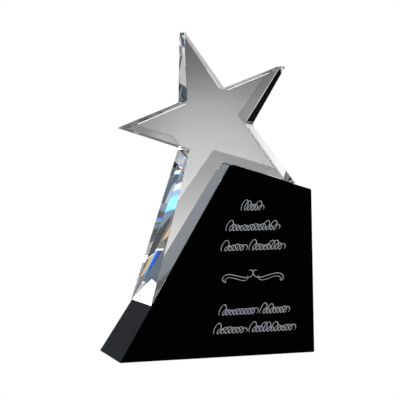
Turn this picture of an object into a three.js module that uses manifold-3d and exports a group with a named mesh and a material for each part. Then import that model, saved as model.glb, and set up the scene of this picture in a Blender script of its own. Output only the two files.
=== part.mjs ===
// Crystal award: a clear five-pointed star bonded onto the two slopes of a black crystal block.
// Millimetres, +Z up, front towards -Y, right towards +X.
// The origin is on the table, at the middle of the block's footprint.

import * as THREE from 'three';
import { mergeVertices } from 'three/addons/utils/BufferGeometryUtils.js';
import Module from 'manifold-3d';

const wasm = await Module();
wasm.setup();

// The whole award is one wedge: its front and back faces lean towards each other.
const BASE_WIDTH = 153;
const BASE_DEPTH = 58.5;
const FRONT_LEAN = THREE.MathUtils.degToRad(3.3);
const BACK_LEAN = THREE.MathUtils.degToRad(7.8);
const WALL_RISE = THREE.MathUtils.degToRad(1.5); // the star's side walls climb towards the back

// Corners are [across from the block's left bottom corner, height above the table], on the front face.
const LEFT_FOOT = [0, 0];
const RIGHT_FOOT = [BASE_WIDTH, 0];
const RIGHT_SHOULDER = [BASE_WIDTH, 123.5];
const APEX = [88, 143];

const TOP_TIP = [53.5, 241];
const TOP_RIGHT_NOTCH = [85.5, 197.5];
const UPPER_RIGHT_TIP = [134, 216.5];
const RIGHT_NOTCH = [106, 172];
const LOWER_RIGHT_TIP_ACROSS = 140.5;
const LONG_TIP_HEIGHT = 38.5;
const LEFT_NOTCH = [56.5, 154];
const LEFT_TIP = [8, 169];
const UPPER_LEFT_NOTCH = [55, 188];

// How far from each corner its rounding starts.
const TIP_ROUNDING = 1.6;
const NOTCH_ROUNDING = 2.2;
const BLOCK_ROUNDING = 1.2;
const CURVE_STEPS = 4;

// Optical adhesive between the star and the block.
const FILM_THICKNESS = 0.2;
const FILM_CLEARANCE = 0.15;
const FILM_MARGIN = 2.5; // the film stops short of the ends of each joint
const JOINT_GAP = FILM_THICKNESS + 2 * FILM_CLEARANCE;

const AWARD_HEIGHT = TOP_TIP[1];
const SPARE = 20; // how far cutting bodies and uncut prisms overshoot

// The point at a share of the way from one corner to another.
function along(from, to, share) {
  return [from[0] + (to[0] - from[0]) * share, from[1] + (to[1] - from[1]) * share];
}

function distance(a, b) {
  return Math.hypot(b[0] - a[0], b[1] - a[1]);
}

// The unit normal on the left hand of the way from one corner to the next.
function leftNormal(from, to) {
  const length = distance(from, to);
  return [(from[1] - to[1]) / length, (to[0] - from[0]) / length];
}

// A closed shape through the corners, each given as { at, rounding }.
function roundedShape(corners) {
  const shape = new THREE.Shape();
  corners.forEach(({ at, rounding }, i) => {
    const before = corners[(i + corners.length - 1) % corners.length].at;
    const after = corners[(i + 1) % corners.length].at;
    const start = along(at, before, rounding / distance(at, before));
    const end = along(at, after, rounding / distance(at, after));
    if (i === 0) shape.moveTo(...start);
    else shape.lineTo(...start);
    if (rounding > 0) shape.quadraticCurveTo(...at, ...end);
  });
  shape.closePath();
  return shape;
}

// Pushes a front-view shape straight back, past both faces of the wedge.
function prism(shape) {
  const depth = BASE_DEPTH + 2 * SPARE;
  const geometry = new THREE.ExtrudeGeometry(shape, { depth, bevelEnabled: false, curveSegments: CURVE_STEPS });
  geometry.rotateX(Math.PI / 2);
  geometry.translate(-BASE_WIDTH / 2, depth / 2, 0);
  return geometry;
}

// The body between the two leaning faces, drawn as its side profile and pushed across.
function wedge() {
  const top = AWARD_HEIGHT + SPARE;
  const profile = new THREE.Shape([
    new THREE.Vector2(-BASE_DEPTH / 2, 0),
    new THREE.Vector2(BASE_DEPTH / 2, 0),
    new THREE.Vector2(BASE_DEPTH / 2 - top * Math.tan(BACK_LEAN), top),
    new THREE.Vector2(-BASE_DEPTH / 2 + top * Math.tan(FRONT_LEAN), top),
  ]);
  const depth = BASE_WIDTH + 2 * SPARE;
  const geometry = new THREE.ExtrudeGeometry(profile, { depth, bevelEnabled: false });
  geometry.translate(0, 0, -depth / 2);
  geometry.rotateX(Math.PI / 2);
  geometry.rotateZ(Math.PI / 2);
  return geometry;
}

function toSolid(geometry) {
  const bare = geometry.clone();
  bare.deleteAttribute('normal');
  bare.deleteAttribute('uv');
  const merged = mergeVertices(bare, 1e-4);
  return new wasm.Manifold(new wasm.Mesh({
    numProp: 3,
    vertProperties: new Float32Array(merged.attributes.position.array),
    triVerts: new Uint32Array(merged.index.array),
  }));
}

function toGeometry(solid) {
  const { vertProperties, triVerts } = solid.getMesh();
  const indexed = new THREE.BufferGeometry();
  indexed.setAttribute('position', new THREE.BufferAttribute(new Float32Array(vertProperties), 3));
  indexed.setIndex(new THREE.BufferAttribute(new Uint32Array(triVerts), 1));
  const faceted = indexed.toNonIndexed();
  faceted.computeVertexNormals();
  return faceted;
}

// The block's outline grown outwards by a margin, so that it can also cut the star's seat.
function blockSolid(margin) {
  const outline = [LEFT_FOOT, RIGHT_FOOT, RIGHT_SHOULDER, APEX];
  const corners = outline.map((at, i) => {
    const into = leftNormal(outline[(i + 3) % 4], at);
    const out = leftNormal(at, outline[(i + 1) % 4]);
    const reach = margin / (1 + into[0] * out[0] + into[1] * out[1]);
    return {
      at: [at[0] - reach * (into[0] + out[0]), at[1] - reach * (into[1] + out[1])],
      rounding: i < 2 ? 0 : BLOCK_ROUNDING,
    };
  });
  return toSolid(prism(roundedShape(corners)));
}

// The star's outline. Below the two joints it runs on into the block, which then cuts it off.
function starSolid() {
  const longTip = along(LEFT_FOOT, APEX, LONG_TIP_HEIGHT / APEX[1]);
  const slopeShare = (LOWER_RIGHT_TIP_ACROSS - APEX[0]) / (RIGHT_SHOULDER[0] - APEX[0]);
  const lowerRightTip = along(APEX, RIGHT_SHOULDER, slopeShare);
  const corners = [
    { at: TOP_TIP, rounding: TIP_ROUNDING },
    { at: UPPER_LEFT_NOTCH, rounding: NOTCH_ROUNDING },
    { at: LEFT_TIP, rounding: TIP_ROUNDING },
    { at: LEFT_NOTCH, rounding: NOTCH_ROUNDING },
    { at: along(LEFT_NOTCH, longTip, 1.2), rounding: 0 },
    { at: along(RIGHT_NOTCH, lowerRightTip, 1.2), rounding: 0 },
    { at: RIGHT_NOTCH, rounding: NOTCH_ROUNDING },
    { at: UPPER_RIGHT_TIP, rounding: TIP_ROUNDING },
    { at: TOP_RIGHT_NOTCH, rounding: NOTCH_ROUNDING },
  ];
  const geometry = prism(roundedShape(corners));
  geometry.translate(0, BASE_DEPTH / 2, 0);
  geometry.rotateX(WALL_RISE);
  geometry.translate(0, -BASE_DEPTH / 2, 0);
  return toSolid(geometry);
}

// A thin film that lies off one slope of the block, between two shares of that slope's length.
function filmSolid(from, to, startShare, endShare) {
  const normal = leftNormal(from, to);
  const margin = FILM_MARGIN / distance(from, to);
  const start = along(from, to, startShare + margin);
  const end = along(from, to, endShare - margin);
  const off = ([across, up], lift) => ({ at: [across + normal[0] * lift, up + normal[1] * lift], rounding: 0 });
  const far = FILM_CLEARANCE + FILM_THICKNESS;
  return toSolid(prism(roundedShape([
    off(start, FILM_CLEARANCE),
    off(end, FILM_CLEARANCE),
    off(end, far),
    off(start, far),
  ])));
}

function piece(name, solid, material) {
  const mesh = new THREE.Mesh(toGeometry(solid), material);
  mesh.name = name;
  return mesh;
}

const clearCrystal = new THREE.MeshStandardMaterial({ color: 0xdde3e8, roughness: 0.02, metalness: 0 });
const blackCrystal = new THREE.MeshStandardMaterial({ color: 0x060607, roughness: 0.05, metalness: 0 });
const adhesive = new THREE.MeshStandardMaterial({ color: 0xb9c0c8, roughness: 0.2, metalness: 0 });

const body = toSolid(wedge());
const lowerRayShare = (LOWER_RIGHT_TIP_ACROSS - APEX[0]) / (RIGHT_SHOULDER[0] - APEX[0]);
const longRayShare = LONG_TIP_HEIGHT / APEX[1];

const award = new THREE.Group();
award.add(
  piece('base_block', blockSolid(0).intersect(body), blackCrystal),
  piece('crystal_star', starSolid().intersect(body).subtract(blockSolid(JOINT_GAP)), clearCrystal),
  piece('bond_film_long_ray', filmSolid(LEFT_FOOT, APEX, longRayShare, 1).intersect(body), adhesive),
  piece('bond_film_lower_right_ray', filmSolid(APEX, RIGHT_SHOULDER, 0, lowerRayShare).intersect(body), adhesive),
);

export default award;
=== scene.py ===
"""Looks of the crystal star award: a clear star bonded onto a black block, on a white sweep."""

import math
import random

import bpy
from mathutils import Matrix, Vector


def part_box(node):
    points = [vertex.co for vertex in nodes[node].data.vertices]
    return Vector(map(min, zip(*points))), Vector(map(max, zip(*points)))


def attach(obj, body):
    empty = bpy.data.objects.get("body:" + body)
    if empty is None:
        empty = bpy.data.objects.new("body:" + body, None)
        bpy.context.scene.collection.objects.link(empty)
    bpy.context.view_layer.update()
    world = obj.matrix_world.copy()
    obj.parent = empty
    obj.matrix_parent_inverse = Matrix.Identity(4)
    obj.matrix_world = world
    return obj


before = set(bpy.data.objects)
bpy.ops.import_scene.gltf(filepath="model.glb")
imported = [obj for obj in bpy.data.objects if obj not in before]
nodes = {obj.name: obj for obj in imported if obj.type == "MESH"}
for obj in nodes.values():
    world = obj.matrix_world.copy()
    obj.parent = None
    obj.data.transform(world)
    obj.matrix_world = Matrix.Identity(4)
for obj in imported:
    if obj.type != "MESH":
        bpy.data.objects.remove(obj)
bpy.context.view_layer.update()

MM = 0.001

# Camera
CAMERA_PLACE = Vector((-325.7, -947.8, 168.0)) * MM
CAMERA_TURN = math.radians(18.67)  # to the right of +Y
CAMERA_DIP = math.radians(3.0)
CAMERA_LENS = 119.2  # on the default 36 mm sensor

# Ground edges
STAR_ARRIS = 0.29 * MM
BLOCK_ARRIS = 0.35 * MM
WELD_REACH = 0.01 * MM
FLAT_WITHIN = math.radians(3)  # faces that turn less than this count as one
SHARP_FROM = math.radians(60)  # corners that turn more than this get an arris

CRYSTAL_IOR = 1.52
FILM_DARK_RIM = 1.1 * MM  # how far behind the front face the film is painted dark, so that its mirror shows no reflection there
SWEEP_RADIUS = 6.0

# Engraving on the leaning front face, in millimetres: loops and a scroll, no letters
FRONT_LEAN = math.radians(3.3)
FACE_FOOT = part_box("base_block")[0][1]  # where the front face meets the table
ENGRAVING_ACROSS = 27.8 * MM
LOOP_ROWS = [
    (108.6, [16.5]),
    (93.6, [41.0]),
    (78.8, [18.5, 27.0]),
    (31.2, [29.0, 22.0]),
    (17.6, [24.5, 35.5]),
]  # height of the row's foot, width of each run of loops
RUN_GAP = 3.5
LOOP_HEIGHT = 4.3
LOOP_PITCH = 2.9
LOOP_STEPS = 18
LOOP_SLANT = math.tan(math.radians(20))
LOOP_SWING = 0.6  # how far a loop swings back over itself, as a share of the pitch
LOOP_SIZES = (0.8, 0.95, 1.0, 1.1, 1.6)
FIRST_LOOP = 1.8
LOOP_SEED = 5
SCROLL_HEIGHT = 59.0
SCROLLS = [
    ((-12.2, 0.7), -14, 37.0, 1.0),
    ((-13.2, -1.5), -17, 24.0, 0.75),
]  # middle, heading in degrees, length, share of the pen's width
SCROLL_CURL = 0.72  # turn per millimetre at the ends
CURL_GROWTH = 2.2  # how late the turn comes: 1 grows evenly from the middle
SCROLL_STEPS = 90
PEN_WIDE = 0.62
PEN_NARROW = 0.36
PEN_ANGLE = math.radians(35)
PEN_TIP = 0.4  # share of the width at a stroke's very end
PEN_OPENING = 0.15  # share gained at each point from there
PAINT_PROUD = 0.05
PAINT_RIM = 0.01
PAINT_DEEP = 0.09

# Soft light on the front
LIGHT_PLACE = Vector((-0.9, -1.6, 1.1))
LIGHT_SIZE = 0.9
LIGHT_POWER = 9.0

# Surroundings. A direction is an azimuth from +Y towards +X and an elevation, in degrees.
REFLECTION_LEFT = 0.5  # what a polarising filter leaves of outside reflections
# Elevation and light of the soft surroundings
DOME = [
    (-90, 0.5),
    (-50, 0.9),
    (-25, 1.0),
    (-22, 0.53),
    (-19, 0.5),
    (-12, 0.78),
    (-10.4, 0.7),
    (-9.1, 0.47),
    (-7.7, 0.33),
    (-6.3, 0.29),
    (-5.0, 0.24),
    (-4.0, 0.15),
    (-2.6, 0.12),
    (2, 0.16),
    (7, 0.24),
    (13, 0.2),
    (30, 0.25),
    (50, 0.3),
    (90, 0.3),
]
# What the node group of a card takes
CARD_NUMBERS = (
    "Azimuth", "Elevation", "Card azimuth", "Card elevation", "Squeeze", "Cosine", "Sine",
    "Half width", "Half height", "Edge", "Spread", "Cover",
)
# Direction, half size, tilt, soft edge, colour spread, cover (1 hides what is behind), light.
# Later cards stand in front of earlier ones. The world shader has room for about sixty.
CARDS = [
    # Glows near the table, dark flags and the tone of the block's left slope
    ((18.9, -7.0), (0.3, 2.0), 0, 2.5, 0.0, 0.0, (0.05, 0.05, 0.05)),
    ((158.9, -36.0), (1.4, 6.0), 0, 6.7, 0.0, 0.0, (6.0, 6.0, 6.0)),
    ((166.0, -36.0), (2.4, 14.0), 0, 3.2, 0.0, 0.75, (0.0, 0.0, 0.0)),
    ((160.0, 2.0), (30.0, 9.0), 0, 5.0, 0.0, 1.0, (0.004, 0.004, 0.004)),
    ((151.7, 6.0), (0.3, 0.6), 0, 0.9, 0.0, 1.0, (4.2, 4.2, 4.2)),
    ((-151.0, 5.4), (1.0, 1.5), 0, 1.5, 0.0, 1.0, (1.1, 1.1, 1.1)),
    ((-12.0, 17.0), (14.0, 2.6), 0, 0.8, 0.0, 1.0, (0.003, 0.003, 0.003)),
    ((-18.6, 1.0), (2.6, 11.0), 0, 0.8, 0.0, 1.0, (0.006, 0.007, 0.01)),
    ((-13.5, 9.3), (2.6, 3.0), 0, 1.0, 0.0, 1.0, (0.228, 0.252, 0.278)),
    ((13.0, 8.5), (6.0, 2.2), 0, 0.8, 0.0, 1.0, (0.06, 0.07, 0.08)),
    # Lines along the star's edges
    ((33.5, -29.4), (4.0, 1.2), 0, 0.5, 0.0, 1.0, (1.9, 1.9, 1.9)),
    ((-3.0, 11.2), (1.2, 1.2), 0, 0.4, 0.0, 1.0, (0.75, 0.75, 0.77)),
    ((1.0, -26.35), (0.9, 0.6), 0, 0.06, 0.0, 1.0, (0.09, 0.095, 0.1)),
    # The key light and what shows beside it in the long ray's side wall
    ((152.0, 57.0), (12.0, 11.0), 0, 1.5, 0.0, 1.0, (3.0, 3.0, 3.0)),
    ((159.2, 54.8), (0.45, 0.25), 0, 0.05, 0.0, 1.0, (0.72, 0.75, 0.78)),
    ((128.2, 33.0), (1.2, 1.2), 0, 0.2, 0.0, 1.0, (0.16, 0.22, 0.27)),
    ((126.0, 29.45), (2.6, 2.65), 0, 0.1, 0.0, 1.0, (2.0, 2.0, 2.0)),
    ((160.4, 65.9), (0.28, 0.6), 0, 0.05, 0.0, 1.0, (0.14, 0.19, 0.24)),
    ((-127.3, 60.85), (0.85, 0.6), 0, 0.1, 0.0, 1.0, (0.085, 0.095, 0.11)),
    ((-113.2, 34.5), (1.5, 1.5), 0, 0.5, 0.0, 1.0, (0.43, 0.5, 0.56)),
    ((26.0, 9.5), (1.2, 1.2), 0, 0.6, 0.0, 1.0, (0.07, 0.09, 0.12)),
    ((143.8, -9.2), (1.0, 1.0), 0, 0.5, 0.0, 1.0, (0.05, 0.06, 0.09)),
    ((165.0, 55.95), (0.6, 0.6), 0, 0.3, 0.0, 1.0, (0.1, 0.15, 0.2)),
    ((-119.65, -29.1), (0.3, 0.4), 0, 0.2, 0.0, 1.0, (0.12, 0.16, 0.22)),
    # Cyan flashes
    ((97.5, 2.2), (2.2, 1.5), 40, 0.2, 0.0, 1.0, (0.3, 0.4, 0.52)),
    ((97.45, 2.15), (0.62, 0.5), 40, 0.12, -0.05, 1.0, (0.45, 2.3, 2.45)),
    ((98.25, 2.66), (0.2, 0.3), 40, 0.1, 0.0, 1.0, (0.62, 1.05, 2.1)),
    ((98.65, 2.9), (0.22, 0.3), 40, 0.08, 0.0, 1.0, (2.2, 2.3, 2.4)),
    ((-49.3, 50.0), (1.2, 0.6), 40, 0.1, 0.0, 1.0, (0.32, 0.42, 0.55)),
    ((-48.5, 50.2), (0.3, 0.12), 40, 0.06, 0.0, 1.0, (0.6, 2.2, 2.4)),
    # Orange edges
    ((68.5, 24.85), (1.3, 1.0), 0, 0.1, 0.0, 1.0, (0.27, 0.26, 0.25)),
    ((68.58, 24.93), (0.7, 0.045), -41, 0.04, 0.0, 1.0, (1.1, 0.75, 0.42)),
    ((101.4, 30.3), (1.2, 1.0), 34, 0.2, 0.0, 1.0, (0.16, 0.16, 0.17)),
    ((101.38, 30.325), (0.075, 1.2), 124, 0.045, 0.012, 1.0, (1.25, 0.95, 0.32)),
    # Royal blue patch
    ((2.2, 74.7), (0.8, 0.8), 45, 0.05, 0.0, 1.0, (0.07, 0.09, 0.2)),
    ((1.955, 74.725), (0.03, 0.6), 45, 0.05, 0.0, 1.0, (0.03, 0.1, 0.75)),
    ((1.89, 74.708), (0.014, 0.6), 45, 0.02, 0.0, 1.0, (0.03, 0.33, 1.25)),
    ((1.83, 74.692), (0.006, 0.6), 45, 0.012, 0.0, 1.0, (0.42, 0.9, 1.35)),
    ((1.775, 74.678), (0.008, 0.6), 45, 0.01, 0.0, 1.0, (0.75, 0.85, 0.8)),
    ((1.6, 74.63), (0.03, 0.6), 45, 0.02, 0.0, 1.0, (0.95, 0.6, 0.22)),
    ((3.9, 74.25), (0.3, 0.12), 45, 0.05, 0.0, 1.0, (1.6, 1.6, 1.6)),
    ((14.9, 65.41), (0.012, 0.16), 52, 0.015, 0.0, 1.0, (0.12, 0.5, 1.35)),
    ((14.96, 65.44), (0.02, 0.16), 52, 0.015, 0.0, 1.0, (0.06, 0.17, 0.6)),
    ((14.85, 65.38), (0.012, 0.16), 52, 0.015, 0.0, 1.0, (0.8, 0.7, 0.45)),
    # Rainbow under the left notch
    ((121.9, 73.5), (1.0, 0.9), 0, 0.2, 0.0, 1.0, (0.8, 0.85, 0.96)),
    ((122.25, 73.4), (0.06, 0.6), 0, 0.05, 0.0, 1.0, (0.36, 0.62, 1.03)),
    ((122.72, 73.3), (0.02, 0.6), 0, 0.03, 0.0, 1.0, (0.37, 0.29, 0.5)),
    ((123.05, 73.2), (0.06, 0.6), 0, 0.03, 0.0, 1.0, (0.5, 0.4, 0.24)),
    # Strip lights seen one after another down the long ray's side wall
    ((-169.0, 31.2), (6.4, 1.4), 0, 0.1, 0.0, 1.0, (0.17, 0.18, 0.2)),
    ((-173.9, 32.1), (1.7, 0.6), 0, 0.05, 0.0, 1.0, (0.14, 0.21, 0.32)),
    ((-175.25, 32.16), (0.2, 0.4), 0, 0.1, 0.04, 1.0, (1.8, 2.0, 2.1)),
    ((-172.2, 32.07), (1.3, 0.1), -7, 0.02, 0.0, 1.0, (0.82, 0.97, 1.1)),
    ((-170.6, 31.84), (0.35, 0.1), 0, 0.1, 0.0, 1.0, (0.42, 0.53, 0.68)),
    ((-169.1, 31.55), (0.16, 0.2), 0, 0.1, -0.1, 1.0, (0.3, 0.6, 1.3)),
    ((-168.5, 31.5), (0.16, 0.1), 20, 0.06, 0.0, 1.0, (0.3, 0.4, 0.55)),
    ((-165.2, 30.9), (0.27, 0.3), 0, 0.06, 0.0, 1.0, (2.2, 2.2, 2.2)),
    ((-164.1, 30.7), (0.3, 0.3), 0, 0.06, 0.0, 1.0, (0.09, 0.09, 0.1)),
    ((-162.4, 30.3), (0.5, 0.3), 0, 0.3, 0.0, 1.0, (0.42, 0.46, 0.5)),
]


def new_material(name):
    material = bpy.data.materials.new(name)
    material.use_nodes = True
    material.node_tree.nodes.clear()
    return material


def node(tree, kind, **settings):
    made = tree.nodes.new(kind)
    for key, value in settings.items():
        setattr(made, key, value)
    return made


def maths(tree, operation, *values):
    """A maths node; each value is a socket or a number. Gives its output socket."""
    made = node(tree, "ShaderNodeMath", operation=operation)
    for socket, value in zip(made.inputs, values):
        if isinstance(value, bpy.types.NodeSocket):
            tree.links.new(value, socket)
        else:
            socket.default_value = value
    return made.outputs[0]


def noise(tree, place, scale, detail=2.0):
    clouds = node(tree, "ShaderNodeTexNoise")
    clouds.inputs["Scale"].default_value = scale
    clouds.inputs["Detail"].default_value = detail
    tree.links.new(place, clouds.inputs["Vector"])
    return clouds.outputs["Fac"]


def tones(tree, factor, dark, light, low=0.0, high=1.0):
    """A colour that runs from dark to light while the factor runs from low to high."""
    ramp = node(tree, "ShaderNodeValToRGB")
    first, last = ramp.color_ramp.elements
    first.position = low
    first.color = (*dark, 1)
    last.position = high
    last.color = (*light, 1)
    tree.links.new(factor, ramp.inputs["Fac"])
    return ramp.outputs[0]


def show(tree, shader, kind="ShaderNodeOutputMaterial"):
    tree.links.new(shader.outputs[0], node(tree, kind).inputs["Surface"])


def glass_material():
    """Clear optical crystal with the faintest streaks of tint running up it."""
    material = new_material("clear_crystal")
    tree = material.node_tree
    place = node(tree, "ShaderNodeTexCoord")
    stretch = node(tree, "ShaderNodeMapping")
    stretch.inputs["Scale"].default_value = (1, 1, 0.25)
    tree.links.new(place.outputs["Object"], stretch.inputs["Vector"])
    streaks = noise(tree, stretch.outputs[0], 60)
    tint = tones(tree, streaks, (0.985, 0.984, 0.984), (0.997, 0.995, 0.995), 0.3, 0.7)
    shader = node(tree, "ShaderNodeBsdfPrincipled")
    tree.links.new(tint, shader.inputs["Base Color"])
    shader.inputs["Roughness"].default_value = 0.0
    shader.inputs["IOR"].default_value = CRYSTAL_IOR
    shader.inputs["Transmission Weight"].default_value = 1.0
    show(tree, shader)
    return material


def black_material():
    """Black crystal: near-black with a trace of clouding and polishing haze."""
    material = new_material("black_crystal")
    tree = material.node_tree
    place = node(tree, "ShaderNodeTexCoord")
    clouds = noise(tree, place.outputs["Object"], 45, 4.0)
    colour = tones(tree, clouds, (0.0005, 0.0005, 0.0007), (0.0013, 0.0013, 0.0016))
    haze = maths(tree, "MULTIPLY_ADD", clouds, 0.02, 0.015)
    shader = node(tree, "ShaderNodeBsdfPrincipled")
    tree.links.new(colour, shader.inputs["Base Color"])
    tree.links.new(haze, shader.inputs["Roughness"])
    show(tree, shader)
    return material


def film_material():
    """Mirror-like across the joint; painted dark on its thin edges and just behind the front face, so the
    mirror shows no reflection there.
    """
    material = new_material("adhesive")
    tree = material.node_tree
    place = node(tree, "ShaderNodeTexCoord")
    mirror = tones(tree, noise(tree, place.outputs["Object"], 90), (0.88, 0.89, 0.9), (0.92, 0.93, 0.94))
    # Painted dark: the film's thin edges and the strip just behind the front face get a dark colour that
    # hides the mirror's reflection there
    surface = node(tree, "ShaderNodeNewGeometry")
    facing = node(tree, "ShaderNodeSeparateXYZ")
    tree.links.new(surface.outputs["Normal"], facing.inputs[0])
    edge = maths(tree, "GREATER_THAN", maths(tree, "ABSOLUTE", facing.outputs["Y"]), 0.5)
    spot = node(tree, "ShaderNodeSeparateXYZ")
    tree.links.new(place.outputs["Object"], spot.inputs[0])
    leaning = maths(tree, "MULTIPLY_ADD", spot.outputs["Z"], -math.tan(FRONT_LEAN), spot.outputs["Y"])
    front = maths(tree, "LESS_THAN", leaning, FACE_FOOT + FILM_DARK_RIM)
    dark = maths(tree, "MAXIMUM", edge, front)
    # Mix in the painted dark colour wherever that mask is set
    colour = node(tree, "ShaderNodeMix", data_type="RGBA")
    tree.links.new(dark, colour.inputs["Factor"])
    tree.links.new(mirror, colour.inputs["A"])
    colour.inputs["B"].default_value = (0.02, 0.02, 0.025, 1)
    shader = node(tree, "ShaderNodeBsdfPrincipled")
    tree.links.new(colour.outputs["Result"], shader.inputs["Base Color"])
    shader.inputs["Metallic"].default_value = 1.0
    shader.inputs["Roughness"].default_value = 0.0
    show(tree, shader)
    return material


def paint_material():
    """Matt, slightly grainy pale paint."""
    material = new_material("engraving_paint")
    tree = material.node_tree
    place = node(tree, "ShaderNodeTexCoord")
    grain = noise(tree, place.outputs["Object"], 2500, 3.0)
    colour = tones(tree, grain, (0.42, 0.45, 0.48), (0.85, 0.88, 0.92), 0.3, 0.7)
    bump = node(tree, "ShaderNodeBump")
    bump.inputs["Strength"].default_value = 0.3
    bump.inputs["Distance"].default_value = 0.03 * MM
    tree.links.new(grain, bump.inputs["Height"])
    shader = node(tree, "ShaderNodeBsdfPrincipled")
    tree.links.new(colour, shader.inputs["Base Color"])
    tree.links.new(bump.outputs[0], shader.inputs["Normal"])
    shader.inputs["Roughness"].default_value = 0.55
    show(tree, shader)
    return material


def sweep_material():
    """Evenly lit white, as a blown-out studio floor is."""
    material = new_material("sweep")
    tree = material.node_tree
    show(tree, node(tree, "ShaderNodeEmission"))
    return material


def card_group():
    """One studio card: a soft-edged rectangle in directions, fringed by shifting its red, green and blue
    apart in place of the crystal's dispersion.
    """
    group = bpy.data.node_groups.new("studio_card", "ShaderNodeTree")
    sockets = group.interface
    for name in CARD_NUMBERS:
        sockets.new_socket(name, in_out="INPUT", socket_type="NodeSocketFloat")
    for name in ("Behind", "Light"):
        sockets.new_socket(name, in_out="INPUT", socket_type="NodeSocketVector")
    sockets.new_socket("Result", in_out="OUTPUT", socket_type="NodeSocketVector")
    value = node(group, "NodeGroupInput").outputs

    turned = maths(group, "SUBTRACT", value["Azimuth"], value["Card azimuth"])
    turned = maths(group, "WRAP", turned, -180.0, 180.0)
    aside = maths(group, "MULTIPLY", turned, value["Squeeze"])
    above = maths(group, "SUBTRACT", value["Elevation"], value["Card elevation"])
    along = maths(group, "ADD", maths(group, "MULTIPLY", aside, value["Cosine"]),
                  maths(group, "MULTIPLY", above, value["Sine"]))
    across = maths(group, "SUBTRACT", maths(group, "MULTIPLY", above, value["Cosine"]),
                   maths(group, "MULTIPLY", aside, value["Sine"]))

    def inside(offset, half):
        size = maths(group, "ABSOLUTE", offset)
        outer = maths(group, "ADD", half, value["Edge"])
        fade = node(group, "ShaderNodeMapRange", interpolation_type="SMOOTHSTEP")
        group.links.new(size, fade.inputs["Value"])
        group.links.new(outer, fade.inputs["From Min"])
        group.links.new(half, fade.inputs["From Max"])
        return fade.outputs["Result"]

    tall = inside(across, value["Half height"])
    shares = []
    for shift in (-1.0, 0.0, 1.0):
        moved = maths(group, "MULTIPLY_ADD", value["Spread"], -shift, along)
        wide = inside(moved, value["Half width"])
        shares.append(maths(group, "MULTIPLY", wide, tall))
    colours = node(group, "ShaderNodeCombineXYZ")
    for share, socket in zip(shares, colours.inputs):
        group.links.new(share, socket)
    hidden = node(group, "ShaderNodeVectorMath", operation="SCALE")
    group.links.new(colours.outputs[0], hidden.inputs[0])
    group.links.new(value["Cover"], hidden.inputs["Scale"])
    left = node(group, "ShaderNodeVectorMath", operation="SUBTRACT")
    left.inputs[0].default_value = (1, 1, 1)
    group.links.new(hidden.outputs[0], left.inputs[1])
    kept = node(group, "ShaderNodeVectorMath", operation="MULTIPLY")
    group.links.new(value["Behind"], kept.inputs[0])
    group.links.new(left.outputs[0], kept.inputs[1])
    total = node(group, "ShaderNodeVectorMath", operation="MULTIPLY_ADD")
    group.links.new(colours.outputs[0], total.inputs[0])
    group.links.new(value["Light"], total.inputs[1])
    group.links.new(kept.outputs[0], total.inputs[2])
    group.links.new(total.outputs[0], node(group, "NodeGroupOutput").inputs[0])
    return group


def make_world():
    """White to the camera itself; to everything else a soft dome with cards in front of it."""
    world = bpy.data.worlds.new("studio")
    world.use_nodes = True
    tree = world.node_tree
    tree.nodes.clear()
    place = node(tree, "ShaderNodeTexCoord")
    split = node(tree, "ShaderNodeSeparateXYZ")
    tree.links.new(place.outputs["Generated"], split.inputs[0])
    radians = maths(tree, "ARCTAN2", split.outputs["X"], split.outputs["Y"])
    azimuth = maths(tree, "DEGREES", radians)
    elevation = maths(tree, "DEGREES", maths(tree, "ARCSINE", split.outputs["Z"]))

    height = maths(tree, "MULTIPLY_ADD", elevation, 1 / 180, 0.5)
    ramp = node(tree, "ShaderNodeValToRGB")
    tree.links.new(height, ramp.inputs["Fac"])
    stops = ramp.color_ramp.elements
    while len(stops) < len(DOME):
        stops.new(0.5)
    for stop, (stop_el, light) in zip(stops, DOME):
        stop.position = stop_el / 180 + 0.5
        stop.color = (light, light, light, 1)
    lit = ramp.outputs[0]
    group = card_group()
    for (card_az, card_el), (half_w, half_h), tilt, edge, spread, cover, light in CARDS:
        card = node(tree, "ShaderNodeGroup", node_tree=group)
        numbers = {
            "Card azimuth": card_az, "Card elevation": card_el, "Squeeze": math.cos(math.radians(card_el)),
            "Cosine": math.cos(math.radians(tilt)), "Sine": math.sin(math.radians(tilt)),
            "Half width": half_w, "Half height": half_h, "Edge": edge, "Spread": spread, "Cover": cover,
        }
        for name, number in numbers.items():
            card.inputs[name].default_value = number
        card.inputs["Light"].default_value = light
        tree.links.new(azimuth, card.inputs["Azimuth"])
        tree.links.new(elevation, card.inputs["Elevation"])
        tree.links.new(lit, card.inputs["Behind"])
        lit = card.outputs[0]

    paths = node(tree, "ShaderNodeLightPath")
    polarised = maths(tree, "MULTIPLY_ADD", paths.outputs["Is Reflection Ray"], REFLECTION_LEFT - 1, 1.0)
    dim = node(tree, "ShaderNodeBackground")
    tree.links.new(lit, dim.inputs["Color"])
    tree.links.new(polarised, dim.inputs["Strength"])
    white = node(tree, "ShaderNodeBackground")
    white.inputs["Color"].default_value = (1, 1, 1, 1)
    mix = node(tree, "ShaderNodeMixShader")
    tree.links.new(paths.outputs["Is Camera Ray"], mix.inputs[0])
    tree.links.new(dim.outputs[0], mix.inputs[1])
    tree.links.new(white.outputs[0], mix.inputs[2])
    show(tree, mix, "ShaderNodeOutputWorld")
    bpy.context.scene.world = world


def polish_edges(piece, width):
    """Makes each flat face one face, then breaks the sharp corners with a narrow arris."""
    weld = piece.modifiers.new("weld", "WELD")
    weld.merge_threshold = WELD_REACH
    flat = piece.modifiers.new("flat", "DECIMATE")
    flat.decimate_type = "DISSOLVE"
    flat.angle_limit = FLAT_WITHIN
    arris = piece.modifiers.new("arris", "BEVEL")
    arris.width = width
    arris.segments = 1
    arris.limit_method = "ANGLE"
    arris.angle_limit = SHARP_FROM


def dress(piece, material):
    piece.data.materials.clear()
    piece.data.materials.append(material)


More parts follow.
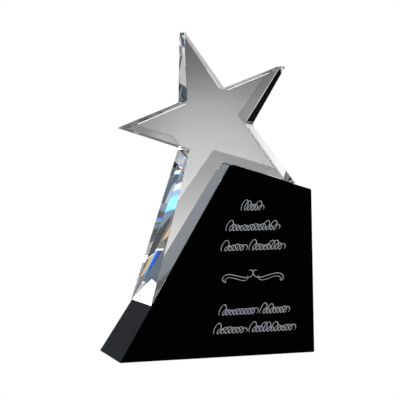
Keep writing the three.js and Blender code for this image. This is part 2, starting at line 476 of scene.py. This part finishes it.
def loop_run(width, sizes):
    """One run of slanted loops, as points across and up from its left foot."""
    count = max(3, round(width / LOOP_PITCH))
    step = width / count
    points = []
    for i in range(count):
        tall = LOOP_HEIGHT * (FIRST_LOOP if i == 0 else sizes.choice(LOOP_SIZES))
        for j in range(LOOP_STEPS):
            turn = 2 * math.pi * j / LOOP_STEPS
            up = tall * (1 - math.cos(turn)) / 2
            across = step * (i + turn / (2 * math.pi) - LOOP_SWING * math.sin(turn))
            points.append((across + up * LOOP_SLANT, up))
    return points


def scroll_stroke(middle, heading, length):
    """An S: nearly straight in the middle and curling the opposite way at each end."""
    halves = []
    steps = SCROLL_STEPS // 2
    stride = length / SCROLL_STEPS
    for start in (heading + 180, heading):
        across, up = middle
        angle = math.radians(start)
        points = []
        for i in range(steps):
            angle += SCROLL_CURL * ((i + 0.5) / steps) ** CURL_GROWTH * stride
            across += math.cos(angle) * stride
            up += math.sin(angle) * stride
            points.append((across, up))
        halves.append(points)
    return halves[0][::-1] + [middle] + halves[1]


def on_face(across, up, lift):
    """A point on the block's front face, given in millimetres from the engraving's middle."""
    height = up * MM
    face = Vector((ENGRAVING_ACROSS + across * MM, FACE_FOOT + height * math.tan(FRONT_LEAN), height))
    return face + Vector((0, -math.cos(FRONT_LEAN), math.sin(FRONT_LEAN))) * lift * MM


def paint_strokes(name, strokes, material):
    """Paint-filled grooves: closed ribbons, wider where the stroke runs across the pen."""
    points = []
    faces = []
    for stroke, share in strokes:
        first = len(points)
        last = len(stroke) - 1
        for i, (across, up) in enumerate(stroke):
            before = stroke[max(i - 1, 0)]
            after = stroke[min(i + 1, last)]
            angle = math.atan2(after[1] - before[1], after[0] - before[0])
            width = PEN_NARROW + (PEN_WIDE - PEN_NARROW) * abs(math.sin(angle - PEN_ANGLE))
            taper = min(1.0, PEN_TIP + PEN_OPENING * min(i, last - i))
            half = width * share * taper / 2
            side = (-math.sin(angle) * half, math.cos(angle) * half)
            points.append(on_face(across + side[0], up + side[1], PAINT_RIM))
            points.append(on_face(across, up, PAINT_PROUD))
            points.append(on_face(across - side[0], up - side[1], PAINT_RIM))
            points.append(on_face(across, up, -PAINT_DEEP))
        for i in range(last):
            ring = first + 4 * i
            for k in range(4):
                after = (k + 1) % 4
                faces.append((ring + k, ring + after, ring + 4 + after, ring + 4 + k))
        faces.append(tuple(first + k for k in (3, 2, 1, 0)))
        faces.append(tuple(first + 4 * last + k for k in range(4)))
    mesh = bpy.data.meshes.new(name)
    mesh.from_pydata(points, [], faces)
    mesh.materials.append(material)
    piece = bpy.data.objects.new(name, mesh)
    bpy.context.scene.collection.objects.link(piece)
    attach(piece, "root")


def make_engraving():
    paint = paint_material()
    sizes = random.Random(LOOP_SEED)
    rows = []
    for foot, widths in LOOP_ROWS:
        start = -(sum(widths) + RUN_GAP * (len(widths) - 1)) / 2
        for width in widths:
            run = loop_run(width, sizes)
            rows.append(([(start + across, foot + up) for across, up in run], 1.0))
            start += width + RUN_GAP
    paint_strokes("engraved_loop_rows", rows, paint)
    scrolls = []
    for side in (1, -1):
        for middle, heading, length, share in SCROLLS:
            stroke = scroll_stroke(middle, heading, length)
            scrolls.append(([(side * across, SCROLL_HEIGHT + up) for across, up in stroke], share))
    paint_strokes("engraved_scroll", scrolls, paint)


def make_light():
    """A large soft lamp that lights the paint and shows in neither the glass nor the gloss."""
    data = bpy.data.lights.new("soft_light", "AREA")
    data.shape = "DISK"
    data.size = LIGHT_SIZE
    data.energy = LIGHT_POWER
    light = bpy.data.objects.new("soft_light", data)
    light.location = LIGHT_PLACE
    light.rotation_euler = (-LIGHT_PLACE).to_track_quat("-Z", "Y").to_euler()
    light.visible_camera = False
    light.visible_glossy = False
    light.visible_transmission = False
    bpy.context.scene.collection.objects.link(light)


def make_sweep():
    """A white floor for the camera only: the crystal sees the dome and the cards instead."""
    bpy.ops.mesh.primitive_circle_add(vertices=96, radius=SWEEP_RADIUS, fill_type="NGON")
    sweep = bpy.context.object
    sweep.name = "sweep"
    sweep.data.materials.append(sweep_material())
    sweep.visible_diffuse = False
    sweep.visible_glossy = False
    sweep.visible_transmission = False
    sweep.visible_shadow = False


def make_camera():
    data = bpy.data.cameras.new("camera")
    data.lens = CAMERA_LENS
    data.clip_end = 20
    camera = bpy.data.objects.new("camera", data)
    camera.location = CAMERA_PLACE
    camera.rotation_euler = (math.pi / 2 - CAMERA_DIP, 0, -CAMERA_TURN)
    bpy.context.scene.collection.objects.link(camera)
    bpy.context.scene.camera = camera


dress(nodes["crystal_star"], glass_material())
polish_edges(nodes["crystal_star"], STAR_ARRIS)
dress(nodes["base_block"], black_material())
polish_edges(nodes["base_block"], BLOCK_ARRIS)
film = film_material()
for name in ("bond_film_long_ray", "bond_film_lower_right_ray"):
    dress(nodes[name], film)
make_engraving()
make_sweep()
make_world()
make_light()
make_camera()

scene = bpy.context.scene
scene.view_settings.view_transform = "Standard"
scene.cycles.max_bounces = 24
scene.cycles.transmission_bounces = 24
scene.cycles.glossy_bounces = 12
